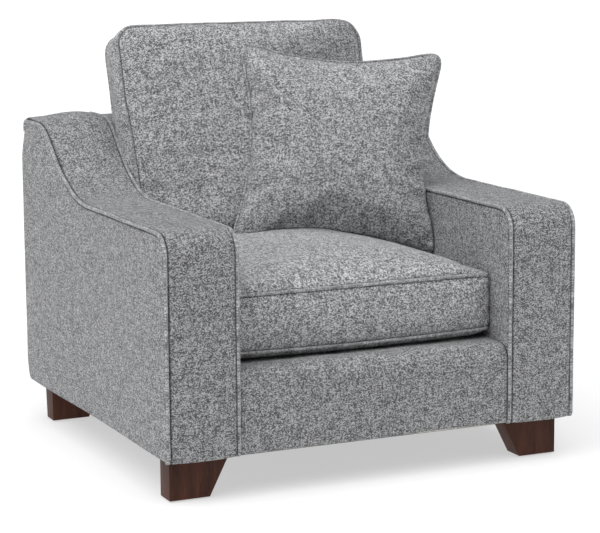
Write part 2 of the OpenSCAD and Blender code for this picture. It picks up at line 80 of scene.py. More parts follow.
def addCamera(view):
    az, el = math.radians(view["azimuth"]), math.radians(view["elevation"])
    away = Vector((math.sin(az) * math.cos(el), -math.cos(az) * math.cos(el), math.sin(el)))
    bpy.ops.object.camera_add(location=Vector(view["target"]) + away * view["distance"])
    camera = bpy.context.object
    turned = away.to_track_quat("Z", "Y").to_matrix() @ Matrix.Rotation(math.radians(view["roll"]), 3, "Z")
    camera.rotation_euler = turned.to_euler()
    camera.data.lens = view["lens"]
    camera.data.sensor_width = 36
    scene.camera = camera


def softbox(name, place, spread, power):
    # a large, far softbox: even light from one side with wide, soft shadows
    bpy.ops.object.light_add(type="SUN", location=place)
    light = bpy.context.object
    light.name = name
    light.data.angle = math.radians(spread)
    light.data.energy = power
    light.rotation_euler = Vector(place).to_track_quat("Z", "Y").to_euler()


class Wire:
    # a socket that can stand in an expression
    def __init__(self, tree, socket):
        self.tree = tree
        self.socket = socket

    def join(self, operation, first, second=0.0):
        node = self.tree.nodes.new("ShaderNodeMath")
        node.operation = operation
        for slot, value in zip(node.inputs, (first, second)):
            if isinstance(value, Wire):
                self.tree.links.new(value.socket, slot)
            else:
                slot.default_value = value
        return Wire(self.tree, node.outputs[0])

    def __add__(self, other):
        return self.join("ADD", self, other)

    __radd__ = __add__

    def __sub__(self, other):
        return self.join("SUBTRACT", self, other)

    def __rsub__(self, other):
        return self.join("SUBTRACT", other, self)

    def __mul__(self, other):
        return self.join("MULTIPLY", self, other)

    __rmul__ = __mul__

    def __truediv__(self, other):
        return self.join("DIVIDE", self, other)

    def __mod__(self, other):
        return self.join("FLOORED_MODULO", self, other)

    def floor(self):
        return self.join("FLOOR", self)

    def sine(self):
        return self.join("SINE", self)

    def size(self):
        return self.join("ABSOLUTE", self)

    def above(self, other):
        return self.join("GREATER_THAN", self, other)


class Paint:
    # a material and its one way of adding nodes
    def __init__(self, name):
        self.material = bpy.data.materials.new(name)
        self.material.use_nodes = True
        self.tree = self.material.node_tree
        self.tree.nodes.clear()

    def node(self, kind, settings=None, sockets=None, output=0):
        made = self.tree.nodes.new(kind)
        for key, value in (settings or {}).items():
            if key == "stops":
                ramp = made.color_ramp
                while len(ramp.elements) < len(value):
                    ramp.elements.new(0.5)
                for element, (place, colour) in zip(ramp.elements, value):
                    element.position = place
                    element.color = (*colour, 1.0)
            else:
                setattr(made, key, value)
        for key, value in (sockets or {}).items():
            if isinstance(value, Wire):
                self.tree.links.new(value.socket, made.inputs[key])
            else:
                made.inputs[key].default_value = value
        if isinstance(output, tuple):
            return [Wire(self.tree, made.outputs[o]) for o in output]
        return Wire(self.tree, made.outputs[output])

    def place(self):
        return self.node("ShaderNodeTexCoord", None, None, "Object")

    def split(self, vector):
        return self.node("ShaderNodeSeparateXYZ", None, {"Vector": vector}, ("X", "Y", "Z"))

    def scaled(self, vector, scale):
        return self.node("ShaderNodeMapping", None, {"Vector": vector, "Scale": scale})

    def noise(self, vector, scale, detail, flat=False, **more):
        settings = {"noise_dimensions": "2D"} if flat else None
        return self.node("ShaderNodeTexNoise", settings,
                         {"Vector": vector, "Scale": scale, "Detail": detail, **more}, 0)

    def ramp(self, value, *stops):
        return self.node("ShaderNodeValToRGB", {"stops": stops}, {"Fac": value}, "Color")

    def finish(self, colour, roughness, bump=None, strength=0.5, distance=0.001, **fixed):
        sockets = {"Base Color": colour, "Roughness": roughness}
        if bump is not None:
            raised = {"Height": bump, "Strength": strength, "Distance": distance}
            sockets["Normal"] = self.node("ShaderNodeBump", None, raised, "Normal")
        for key, value in fixed.items():
            sockets[key.replace("_", " ")] = value
        shader = self.node("ShaderNodeBsdfPrincipled", None, sockets, "BSDF")
        output = self.tree.nodes.new("ShaderNodeOutputMaterial")
        self.tree.links.new(shader.socket, output.inputs["Surface"])
        return self.material


weaveLook = {"stitch": 0.0025, "row": 0.0020, "wander": 0.0015, "dark": (0.095, 0.097, 0.102),
             "middle": (0.275, 0.278, 0.287), "light": (0.60, 0.603, 0.61), "loops": 1.06, "slubs": 0.50,
             "streaks": 0.42, "clouds": 0.24, "seamShade": (0.20, 0.20, 0.21), "seamShadeFrom": 0.76,
             "seamShadeTo": 0.93}


def chenille(name, tone=1.0, contrast=1.0, look=weaveLook):
    # rows of short pile loops on the piece's own map, which is in metres
    p = Paint(name)
    cloth = p.node("ShaderNodeUVMap", {"uv_map": "weave"}, None, "UV")

    def grain(along, across, detail=1.0):
        return p.noise(p.scaled(cloth, (along, across, 1.0)), 1.0, detail, True, Roughness=0.6)

    u, v, _ = p.split(cloth)
    v = (v + (grain(55, 90) - 0.5) * look["wander"]) / look["row"]
    row = v.floor()
    u = (u + (grain(90, 55) - 0.5) * look["wander"]) / look["stitch"] + (row % 2.0) * 0.5
    column = u.floor()
    spot = p.node("ShaderNodeCombineXYZ", None, {"X": column, "Y": row})
    loop = p.node("ShaderNodeTexWhiteNoise", {"noise_dimensions": "2D"}, {"Vector": spot}, "Value")
    # each row of yarn has its own run of light and dark slubs
    along = p.node("ShaderNodeCombineXYZ", None, {"X": u * 0.36, "Y": row * 7.31})
    slub = p.noise(along, 1.0, 1.0, True, Roughness=0.7)
    weftStreak, warpStreak, cloud = grain(30, 170), grain(150, 24), grain(30, 36, 2.0)
    value = 0.5 + contrast * ((loop - 0.5) * look["loops"] + (slub - 0.5) * look["slubs"])
    value = value + (weftStreak - 0.5) * look["streaks"] + (warpStreak - 0.5) * look["streaks"]
    value = value + (cloud - 0.5) * look["clouds"]
    dark, middle, light = (tuple(c * tone for c in look[key]) for key in ("dark", "middle", "light"))
    shade = p.ramp(value, (0.08, dark), (0.50, middle), (0.94, light))
    # painted shade: the weave is darkened in a narrow band beside a seam
    near = p.node("ShaderNodeAttribute", {"attribute_name": "nearSeam"}, None, "Fac")
    seamShade = p.node("ShaderNodeMapRange", None,
                    {"Value": near, "From Min": look["seamShadeFrom"], "From Max": look["seamShadeTo"]}, 0)
    shade = p.node("ShaderNodeMix", {"data_type": "RGBA", "blend_type": "MULTIPLY"},
                   {0: seamShade, 6: shade, 7: (*look["seamShade"], 1.0)}, 2)
    pile = (u * math.pi).sine().size() * (v * math.pi).sine().size()
    height = pile * 0.8 + loop * 0.5 + slub * 0.5 + grain(620, 620, 2.0) * 0.5
    return p.finish(shade, 0.92, height, 0.5, 0.0012, Sheen_Weight=0.15, Sheen_Roughness=0.5,
                    Specular_IOR_Level=0.2)


def wood(name, dark, light, ringSize, roughness, gloss=0.5, axis=(1, 1, 6), layered=0.0):
    p = Paint(name)
    place = p.place()
    longGrain = p.scaled(place, tuple(40.0 / a for a in axis))
    rings = p.noise(longGrain, ringSize, 4.0, Roughness=0.62, Distortion=0.6)
    pores = p.noise(p.scaled(place, tuple(620.0 / a ** 1.8 for a in axis)), 1.0, 2.0)
    value = rings * 0.75 + pores * 0.35
    if layered:
        x, _, _ = p.split(place)
        value = value + (x * (math.pi / layered)).sine() * 0.12
    shade = p.ramp(value, (0.36, dark), (0.72, light))
    rough = roughness + (pores - 0.5) * 0.18
    return p.finish(shade, rough, pores * 0.6 + rings * 0.4, 0.25, 0.0004, Specular_IOR_Level=gloss)


def foam(name, dark, light, cell=900.0):
    p = Paint(name)
    place = p.place()
    cells = p.node("ShaderNodeTexVoronoi", {"feature": "F1"}, {"Vector": place, "Scale": cell}, "Distance")
    cloud = p.noise(place, 14.0, 3.0)
    shade = p.ramp(cloud * 0.6 + cells * 0.5, (0.25, dark), (0.75, light))
    return p.finish(shade, 0.95, cells, 0.4, 0.0006)


def plainWeave(name, dark, light, pitch, roughness=0.85):
    # fine woven or bonded cloth on the object's own coordinates
    p = Paint(name)
    place = p.place()
    x, y, z = p.split(place)
    first = ((x * (math.pi / pitch)).sine().size() + (y * (math.pi / pitch)).sine().size()) * 0.5
    fuzz = p.noise(place, 260.0, 3.0)
    rows = first * 0.6 + (z * (math.pi / pitch)).sine().size() * 0.3 + fuzz * 0.5
    shade = p.ramp(rows, (0.3, dark), (1.0, light))
    return p.finish(shade, roughness, rows, 0.4, 0.0005)


def speckled(name, dark, light, roughness, grain, detail, varies, strength, **fixed):
    p = Paint(name)
    speckle = p.noise(p.place(), grain, detail)
    shade = p.ramp(speckle, (0.3, dark), (0.7, light))
    return p.finish(shade, roughness + (speckle - 0.5) * varies, speckle, strength, 0.0002, **fixed)


# lit and shaded copies of one weave: the lower tones paint shade on the covers of the arms, rail, back and
# deck, the higher tones paint light on the cushions and pillow
shadedSideWeave = chenille("shadedSideWeave", 0.78)
shadedBandWeave = chenille("shadedBandWeave", 0.77)
litCushionWeave = chenille("litCushionWeave", 1.04)
litPillowWeave = chenille("litPillowWeave", 0.96)
# the cords, of the same cloth, are toned lighter than the arm and pillow covers they edge: a painted
# highlight along their ridges
litCordWeave = chenille("litCordWeave", 1.05, 0.6)
espresso = wood("espressoStain", (0.026, 0.0072, 0.0036), (0.088, 0.027, 0.0135), 1.0, 0.50, 0.22)
hardwood = wood("frameHardwood", (0.36, 0.22, 0.12), (0.62, 0.44, 0.27), 1.0, 0.7, axis=(6, 1, 1))
plywood = wood("framePlywood", (0.42, 0.29, 0.16), (0.68, 0.51, 0.32), 0.8, 0.72, axis=(1, 1, 5),
               layered=0.003)
paleFoam = foam("paleFoam", (0.72, 0.67, 0.55), (0.90, 0.86, 0.76))
whiteFibre = foam("whiteFibre", (0.78, 0.78, 0.78), (0.93, 0.93, 0.93), 400.0)
blackFelt = foam("blackFelt", (0.012, 0.012, 0.014), (0.05, 0.05, 0.056), 500.0)
strapWeave = plainWeave("strapWeave", (0.008, 0.008, 0.010), (0.06, 0.06, 0.066), 0.0016)
dustCloth = plainWeave("dustCloth", (0.010, 0.010, 0.011), (0.045, 0.045, 0.048), 0.0012)
springSteel = speckled("springSteel", (0.32, 0.33, 0.35), (0.55, 0.56, 0.58), 0.34, 180.0, 4.0, 0.3, 0.15,
                       Metallic=1.0)
blackNylon = speckled("blackNylon", (0.010, 0.010, 0.011), (0.030, 0.030, 0.032), 0.5, 700.0, 2.0, 0.2, 0.2)
zipTape = plainWeave("zipTape", (0.035, 0.035, 0.038), (0.12, 0.12, 0.13), 0.0008)
print("materials made")


clothThickness = 0.0022
seamReach = 0.020     # how far from a seam the mask for the painted seam shade reaches


def pick(piece):
    bpy.ops.object.select_all(action="DESELECT")
    piece.select_set(True)
    bpy.context.view_layer.objects.active = piece


def openEdit():
    bpy.ops.object.mode_set(mode="EDIT")
    bpy.ops.mesh.select_all(action="SELECT")


def closeEdit():
    bpy.ops.object.mode_set(mode="OBJECT")


def startPoint(name, at):
    # one vertex at a place, in edit mode, on an object at the origin
    bpy.ops.mesh.primitive_plane_add(size=0.01, location=(0, 0, 0))
    piece = bpy.context.object
    piece.name = name
    openEdit()
    bpy.ops.mesh.select_mode(type="VERT")
    bpy.ops.mesh.merge(type="CENTER")
    bpy.ops.transform.translate(value=at)
    return piece


def cube(name, size):
    bpy.ops.mesh.primitive_cube_add(size=size, location=(0, 0, 0))
    piece = bpy.context.object
    piece.name = name
    return piece


def pull(dx, dy, dz, steps=1):
    for _ in range(steps):
        bpy.ops.mesh.extrude_region_move(
            TRANSFORM_OT_translate={"value": (dx / steps, dy / steps, dz / steps)})


def bend(y, z, degrees, steps):
    # spin turns clockwise for a positive angle
    bpy.ops.mesh.spin(steps=steps, angle=-math.radians(degrees), center=(0, y, z), axis=(1, 0, 0))


def coords(piece, kind="co"):
    values = np.empty(len(piece.data.vertices) * 3)
    piece.data.vertices.foreach_get(kind, values)
    return values.reshape(-1, 3)


def normals(piece):
    return coords(piece, "normal")


def place(piece, co):
    piece.data.vertices.foreach_set("co", co.ravel())
    piece.data.update()


def faceTowards(piece, direction):
    # turns an open panel's faces so that they look along direction on the whole
    total = Vector((0, 0, 0))
    for f in piece.data.polygons:
        total += f.normal * f.area
    if total.dot(Vector(direction)) < 0:
        pick(piece)
        openEdit()
        bpy.ops.mesh.flip_normals()
        closeEdit()


def unfolded(piece, edgeX, direction):
    # ends the edit of an open sheet, and gives its side edge as a path, its points and their normals
    closeEdit()
    co = coords(piece)
    path = co[np.abs(co[:, 0] - edgeX) < 1e-6][:, 1:]
    faceTowards(piece, direction)
    return path, coords(piece), normals(piece)


def addModifier(piece, kind, **values):
    pick(piece)
    modifier = piece.modifiers.new(kind.lower(), kind)
    for key, value in values.items():
        setattr(modifier, key, value)
    bpy.ops.object.modifier_apply(modifier=modifier.name)


def subdivide(piece, **values):
    addModifier(piece, "SUBSURF", levels=1, render_levels=1, **values)


def soften(piece, rounds):
    addModifier(piece, "SMOOTH", factor=0.5, iterations=rounds)


def thicken(piece):
    addModifier(piece, "SOLIDIFY", thickness=clothThickness, offset=-1)


def smoothShade(piece, degrees=180):
    pick(piece)
    if degrees < 180:
        bpy.ops.object.shade_smooth_by_angle(angle=math.radians(degrees))
    else:
        bpy.ops.object.shade_smooth()


def ripple(co, size, seed):
    return np.array([noise.noise(Vector(c) / size + Vector((seed, seed * 1.7, seed * 0.3))) for c in co])


def uneven(co, waves):
    # slow unevenness of stuffed cloth, from (size, height, seed) of each wave
    return sum(ripple(co, size, seed) * height for size, height, seed in waves)


def markSeam(piece, away):
    # how near each point is to a seam, 1 on it, 0 out of its reach: the mask for the painted seam shade
    near = np.clip(1 - away / seamReach, 0, 1)
    held = piece.data.attributes.get("nearSeam")
    if held:
        before = np.empty(len(near))
        held.data.foreach_get("value", before)
        near = np.maximum(near, before)
    else:
        held = piece.data.attributes.new("nearSeam", "FLOAT", "POINT")
    held.data.foreach_set("value", near)


def smoothStep(t):
    t = np.clip(t, 0, 1)
    return t * t * (3 - 2 * t)


def layWeave(mesh, flat):
    layer = mesh.uv_layers.get("weave") or mesh.uv_layers.new(name="weave")
    layer.data.foreach_set("uv", np.ascontiguousarray(flat).ravel())
    return layer


def weaveMap(piece, turn=None, path=None):
    # lays the weave on each face from its main direction, or along a path of (y, z) points
    mesh = piece.data
    co = coords(piece)
    if path is not None:
        uv = np.column_stack((co[:, 0], alongPath(co[:, 1:], path)))
        flat = uv[[l.vertex_index for l in mesh.loops]]
    else:
        back = np.array(turn.inverted()) if turn is not None else np.eye(3)
        local = co @ back.T
        flat = np.empty((len(mesh.loops), 2))
        for f in mesh.polygons:
            n = np.abs(back @ np.array(f.normal))
            axis = int(np.argmax(n))
            pair = ((1, 2), (0, 2), (0, 1))[axis]
            for l in f.loop_indices:
                flat[l] = local[mesh.loops[l].vertex_index][list(pair)] + axis * 0.37
    mesh.uv_layers.active = layWeave(mesh, flat)


def alongPath(points, path):
    # distance along the path of the nearest place to each point
    path = np.array(path)
    steps = path[1:] - path[:-1]
    lengths = np.linalg.norm(steps, axis=1)
    starts = np.concatenate(([0], np.cumsum(lengths)[:-1]))
    best = np.full(len(points), np.inf)
    result = np.zeros(len(points))
    for start, step, length, before in zip(path[:-1], steps, lengths, starts):
        if length < 1e-9:
            continue
        t = np.clip(((points - start) @ step) / length ** 2, 0, 1)
        away = np.linalg.norm(points - start - t[:, None] * step, axis=1)
        closer = away < best
        best[closer] = away[closer]
        result[closer] = before + t[closer] * length
    return result


def finishPiece(piece, body, material, replaced=()):
    piece.data.materials.clear()
    piece.data.materials.append(material)
    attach(piece, body)
    if replaced:
        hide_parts(*replaced)


def finishCord(cord, body, replaced=()):
    finishPiece(cord, body, litCordWeave, replaced)


def upholster(piece, material, replaced, body="frame", turn=None, path=None):
    weaveMap(piece, turn, path)
    smoothShade(piece)
    finishPiece(piece, body, material, replaced)


def treeOf(points):
    tree = KDTree(len(points))
    for i, where in enumerate(points):
        tree.insert(where, i)
    tree.balance()
    return tree


armShape = {"level": 0.614, "frontRadius": 0.050, "riseStart": 0.025, "riseAngle": 41.0, "dip": 0.320,
            "crest": 0.130, "tail": 0.012, "heel": 0.028, "cord": 0.0044, "cordDepth": 0.0020, "hem": 0.006,
            "bandCrownFront": 0.0035, "bandCrownRear": 0.015, "rimSteps": (0.0025, 0.0035, 0.006),
            "rimDrop": 0.0036, "rimWidth": 0.0055, "turnedUnder": 0.03, "hollow": 0.004, "hollowY": 0.11,
            "bandWave": 0.0016, "sideWave": 0.0022, "panelSwell": 0.0135, "innerSwell": 0.0012,
            "flare": 0.005, "tip": 0.006, "rollDepth": 0.0052, "rollWidth": 0.011, "grid": 0.026,
            "cordInset": 0.0026}
cosRise = math.cos(math.radians(armShape["riseAngle"]))
sinRise = math.sin(math.radians(armShape["riseAngle"]))
armBend = armShape["dip"] + armShape["crest"]
armRamp = (rearZ - armShape["level"] - armBend * (1 - cosRise)) / sinRise
crestY = armShape["riseStart"] + armBend * sinRise + armRamp * cosRise


def traceArm(startZ, endY, steps):
    # carries what is selected up the arm's front, over the corner and along its swept top
    a = armShape
    up, corner, level, rise, crest, rear = steps
    pull(0, 0, a["level"] - a["frontRadius"] - startZ, up)
    bend(frontY + a["frontRadius"], a["level"] - a["frontRadius"], -90, corner)
    pull(0, a["riseStart"] - frontY - a["frontRadius"], 0, level)
    bend(a["riseStart"], a["level"] + a["dip"], a["riseAngle"], rise)
    pull(0, armRamp * cosRise, armRamp * sinRise)
    bend(crestY, rearZ - a["crest"], -a["riseAngle"], crest)
    pull(0, endY - crestY, 0, rear)


def flareAt(y):
    # how far the arm's outer edge leans out towards the rear
    return armShape["flare"] * smoothStep((y - 0.05) / 0.35)


def liftAt(y, z):
    # how far the top of the arm tips inwards where it sweeps up
    return armShape["tip"] * smoothStep((y - 0.08) / 0.28) * smoothStep((z - 0.60) / 0.1)


def armBand(side, name, node):
    a = armShape
    x0, x1 = innerX + 0.004, halfW - 0.004
    hem, tail, rim, under = a["hem"], a["tail"], a["rimSteps"], a["turnedUnder"]
    piece = startPoint(name, (side * x0, frontY + hem + under, baseZ))
    for step in rim:
        pull(side * step, 0, 0)
    pull(side * (x1 - x0 - 2 * sum(rim)), 0, 0, 8)
    for step in reversed(rim):
        pull(side * step, 0, 0)
    bpy.ops.mesh.select_all(action="SELECT")
    pull(0, -under, 0, 2)
    bend(frontY + hem, baseZ + hem, -90, 3)
    traceArm(baseZ + hem, rearY - tail, (12, 6, 14, 8, 6, 4))
    bend(rearY - tail, rearZ - tail, -90, 4)
    pull(0, 0, -under, 2)
    path, co, out = unfolded(piece, side * x0, (0, -0.5, 1))
    u = (np.abs(co[:, 0]) - (innerX + halfW) / 2) / ((x1 - x0) / 2)
    fromRim = (x1 - x0) / 2 * (1 - np.abs(u))
    edge = a["rimDrop"] * (1 - smoothStep(fromRim / a["rimWidth"]))
    beforeTail = smoothStep((rearY - tail - co[:, 1]) / 0.05)
    rise = smoothStep((co[:, 1] - 0.08) / 0.28) * beforeTail
    crown = a["bandCrownFront"] + (a["bandCrownRear"] - a["bandCrownFront"]) * rise
    crown = crown * (1 - np.abs(u) ** 2.4)
    lift = -u * liftAt(co[:, 1], co[:, 2]) * beforeTail
    hollow = -a["hollow"] * np.exp(-((co[:, 1] - a["hollowY"]) / 0.06) ** 2) * (1 - u * u)
    wave = ripple(co, 0.075, 3.1 * side) * a["bandWave"] * (1 - np.abs(u) ** 3)
    co = co + out * (crown - edge + wave + hollow)[:, None]
    co[:, 2] += lift
    co[:, 0] += side * flareAt(co[:, 1]) * (u + 1) / 2
    place(piece, co)
    markSeam(piece, fromRim - 0.0030)
    subdivide(piece)
    thicken(piece)
    upholster(piece, shadedBandWeave, [node], path=path)


def armSide(side, name, node, outer):
    a = armShape
    inset = a["cord"]
    x = (halfW if outer else innerX) * side
    faceX = side if outer else -side
    end = rearY - (0.0 if outer else 0.003)
    piece = startPoint(name, (x, frontY + inset, baseZ))
    tail = a["tail"]
    traceArm(baseZ, end - tail, (1, 6, 1, 10, 8, 1))
    bend(end - tail, rearZ - inset - tail, -90, 4)
    pull(0, 0, -(rearZ - inset - tail - baseZ - a["heel"]))
    bend(end - a["heel"], baseZ + a["heel"], -90, 6)
    bpy.ops.mesh.select_all(action="SELECT")
    bpy.ops.mesh.remove_doubles(threshold=0.0002)
    bpy.ops.mesh.select_all(action="SELECT")
    bpy.ops.mesh.edge_face_add()
    grid = a["grid"]
    for y in np.arange(frontY + grid * 0.6, end, grid):
        bpy.ops.mesh.select_all(action="SELECT")
        bpy.ops.mesh.bisect(plane_co=(0, y, 0), plane_no=(0, 1, 0))
    for z in np.arange(baseZ + 0.009, rearZ, grid):
        bpy.ops.mesh.select_all(action="SELECT")
        bpy.ops.mesh.bisect(plane_co=(0, 0, z), plane_no=(0, 0, 1))
    closeEdit()
    rim = outlineOf(piece)
    subdivide(piece, subdivision_type="SIMPLE")
    subdivide(piece, boundary_smooth="PRESERVE_CORNERS")
    faceTowards(piece, (faceX, 0, 0))
    co = coords(piece)
    y, z = co[:, 1], co[:, 2]
    away = farFrom(co[:, 1:], rim)
    # only the front and the top are sewn to the band
    seam = [(p, q) for p, q in rim if max(p[1], q[1]) > baseZ + 0.04 and min(p[0], q[0]) < end - tail - 0.001]
    fromSeam = farFrom(co[:, 1:], seam)
    rear = smoothStep((y + 0.10) / 0.45)
    full = (0.35 + 0.65 * rear) * (a["panelSwell"] if outer else a["innerSwell"])
    turn = np.sqrt(1 - (1 - np.clip((end - y) / 0.030, 0, 1)) ** 2)
    puff = full * smoothStep(fromSeam / 0.10) * (0.7 + 0.3 * smoothStep((z - baseZ) / 0.06)) * turn
    if outer:
        puff = puff + flareAt(y) * turn
    roll = a["rollDepth"] * (1 - np.sqrt(1 - (1 - np.clip(away / a["rollWidth"], 0, 1)) ** 2))
    wave = ripple(co, 0.11, 7.7 * side + (2.2 if outer else 0)) * a["sideWave"] * smoothStep(away / 0.05)
    co[:, 0] += faceX * (puff - roll + wave)
    place(piece, co)
    markSeam(piece, fromSeam - 0.0018)
    thicken(piece)
    upholster(piece, shadedSideWeave, [node])


def outlineOf(piece):
    # the free edge of an open panel as (y, z) pairs of end points
    used = {}
    for f in piece.data.polygons:
        for key in f.edge_keys:
            used[key] = used.get(key, 0) + 1
    co = coords(piece)
    return [(co[a][1:], co[b][1:]) for (a, b), count in used.items() if count == 1]


def farFrom(points, rim):
    best = np.full(len(points), np.inf)
    for start, end in rim:
        step = end - start
        length = max(step @ step, 1e-12)
        t = np.clip(((points - start) @ step) / length, 0, 1)
        best = np.minimum(best, np.linalg.norm(points - start - t[:, None] * step, axis=1))
    return best


def cordAlong(name, points, radius, closed=False, sides=10):
    # round cord through points, as a mesh
    bpy.ops.curve.primitive_nurbs_path_add(location=(0, 0, 0))
    piece = bpy.context.object
    piece.name = name
    piece.data.splines.clear()
    spline = piece.data.splines.new("POLY")
    spline.points.add(len(points) - 1)
    for point, where in zip(spline.points, points):
        point.co = (*where, 1.0)
    spline.use_cyclic_u = closed
    piece.data.dimensions = "3D"
    piece.data.bevel_depth = radius
    piece.data.bevel_resolution = max(1, (sides - 4) // 2)
    piece.data.use_fill_caps = not closed
    pick(piece)
    bpy.ops.object.convert(target="MESH")
    piece = bpy.context.object
    cordMap(piece, points)
    smoothShade(piece)
    return piece


def cordMap(piece, points):
    # the weave runs along the cord and round it
    mesh = piece.data
    tree = treeOf(points)
    run = [0.0]
    for a, b in zip(points[:-1], points[1:]):
        run.append(run[-1] + (Vector(b) - Vector(a)).length)
    uv = []
    for v in mesh.vertices:
        where, i, _ = tree.find(v.co)
        off = v.co - where
        uv.append((run[i], (off.x + off.y + off.z) * 1.2))
    layWeave(mesh, np.array(uv)[[l.vertex_index for l in mesh.loops]])


def arcPath(y, z, radius, start, end, count):
    # (y, z) points of an arc, with its angles in degrees from straight up towards the rear
    return [(y + radius * math.sin(t), z + radius * math.cos(t))
            for t in np.radians(np.linspace(start, end, count))]


def armCord(side, name, outer):
    # points along the seam at the middle of the cord
    a = armShape
    x = (halfW - a["cordInset"] if outer else innerX + a["cordInset"]) * side
    deep = a["cordDepth"]
    path = [(frontY + deep + 0.012, baseZ + 0.001), (frontY + deep + 0.003, baseZ + 0.003)]
    for z in np.linspace(baseZ + 0.010, a["level"] - a["frontRadius"], 40):
        path.append((frontY + deep, z))
    front = a["frontRadius"]
    path += arcPath(frontY + front, a["level"] - front, front - deep, -90, 0, 12)[1:]
    for y in np.linspace(frontY + a["frontRadius"], a["riseStart"], 40)[1:]:
        path.append((y, a["level"] - deep))
    path += arcPath(a["riseStart"], a["level"] + a["dip"], a["dip"] + deep, 180, 180 - a["riseAngle"], 18)[1:]
    path += arcPath(crestY, rearZ - a["crest"], a["crest"] - deep, -a["riseAngle"], 0, 14)
    for y in np.linspace(crestY, rearY - 0.014, 10)[1:]:
        path.append((y, rearZ - deep))
    path += [(rearY - 0.006, rearZ - 0.007), (rearY - 0.004, rearZ - 0.014), (rearY - 0.004, rearZ - 0.030)]
    points = []
    for y, z in path:
        lift = float(liftAt(y, z)) * (-1 if outer else 1)
        sway = 0.0008 * noise.noise(Vector((x * 3, y * 14, z * 14)))
        lean = side * float(flareAt(y)) if outer else 0.0
        points.append(Vector((x + lean + sway, y, z + lift + sway)))
    return cordAlong(name, points, a["cord"])


def buildArm(side, word):
    low = word.lower()
    armBand(side, "armBand" + word, "arm_band_" + low)
    for outer, kind in ((True, "Outer"), (False, "Inner")):
        armSide(side, "arm" + kind + "Side" + word, f"arm_{kind.lower()}_cover_{low}", outer)
        cord = armCord(side, "arm" + kind + "Cord" + word, outer)
        finishCord(cord, "frame", [f"arm_{kind.lower()}_welt_{low}"])


buildArm(1, "Right")
buildArm(-1, "Left")
print("arms made")


railShape = {"roll": 0.040, "swell": 0.003, "waves": ((0.10, 0.0018, 12.4),)}
deckShape = {"springs": 0.0012, "springPitch": 0.124, "sag": 0.004}
backShape = {"lean": math.atan2(frame["joints"][1]["axis"][1], frame["joints"][1]["axis"][2]),
             "round": 0.034, "swell": 0.007, "outerSwell": 0.0035, "drawnIn": 0.003, "heelSwell": 0.0022,
             "seam": 0.0020, "waves": ((0.09, 0.0015, 21.0),), "outerWaves": ((0.13, 0.0020, 30.3),)}


def acrossPiece(name, x0, x1, start, cuts):
    piece = startPoint(name, (x0, *start))
    pull(x1 - x0, 0, 0, cuts)
    bpy.ops.mesh.select_all(action="SELECT")
    return piece


def railCover():
    low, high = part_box("front_rail_cover")
    r = railShape["roll"]
    hem = armShape["hem"]
    piece = acrossPiece("railCover", low.x, high.x, (low.y + hem + 0.02, low.z), 26)
    pull(0, -0.02, 0, 1)
    bend(low.y + hem, low.z + hem, -90, 3)
    pull(0, 0, high.z - r - low.z - hem, 8)
    bend(low.y + r, high.z - r, -90, 8)
    pull(0, high.y - low.y - r, 0, 3)
    path, co, out = unfolded(piece, low.x, (0, -1, 0.5))
    u = co[:, 0] / high.x
    wave = uneven(co, railShape["waves"]) * (1 - u ** 8)
    swell = railShape["swell"] * (1 - u ** 4) * smoothStep((co[:, 2] - low.z) / 0.05)
    place(piece, co + out * (swell + wave)[:, None])
    subdivide(piece)
    markSeam(piece, high.x - np.abs(coords(piece)[:, 0]))
    thicken(piece)
    upholster(piece, shadedBandWeave, ["front_rail_cover"], path=path)


def deckCloth():
    low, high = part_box("deck_cover")
    piece = acrossPiece("deckCloth", low.x, high.x, (low.y, high.z), 30)
    pull(0, high.y - low.y, 0, 28)
    _, co, _ = unfolded(piece, low.x, (0, 0, 1))
    springs = deckShape["springs"] * np.cos(co[:, 0] / deckShape["springPitch"] * 2 * math.pi)
    sag = -deckShape["sag"] * (1 - (co[:, 0] / high.x) ** 2) * (1 - ((co[:, 1] + 0.11) / 0.33) ** 2)
    co[:, 2] += np.minimum(sag + springs * smoothStep((co[:, 1] - low.y) / 0.05), 0) - 0.0003
    place(piece, co)
    subdivide(piece)
    upholster(piece, shadedSideWeave, ["deck_cover"])


def insideBack():
    low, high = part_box("inside_back_cover")
    lean, r = backShape["lean"], backShape["round"]
    t = math.tan(lean)
    centreZ = high.z - r
    centreY = low.y + (centreZ - low.z) * t + r / math.cos(lean)
    piece = acrossPiece("insideBack", low.x, high.x, (low.y, low.z), 26)
    run = centreZ + r * math.sin(lean) - low.z
    pull(0, run * t, run, 18)
    bend(centreY, centreZ, -(90 - math.degrees(lean)), 6)
    tail = armShape["tail"]
    pull(0, rearY - tail - centreY, 0, 5)
    bend(rearY - tail, rearZ - tail, -90, 4)
    pull(0, 0, -armShape["turnedUnder"], 2)
    path, co, out = unfolded(piece, low.x, (0, -1, 0.5))
    u = co[:, 0] / high.x
    top = smoothStep((co[:, 2] - 0.70) / 0.08) * smoothStep((rearY - 0.01 - co[:, 1]) / 0.04)
    swell = backShape["swell"] * top * (1 - u ** 4) + uneven(co, backShape["waves"])
    place(piece, co + out * swell[:, None])
    subdivide(piece)
    thicken(piece)
    upholster(piece, shadedSideWeave, ["inside_back_cover"], path=path)


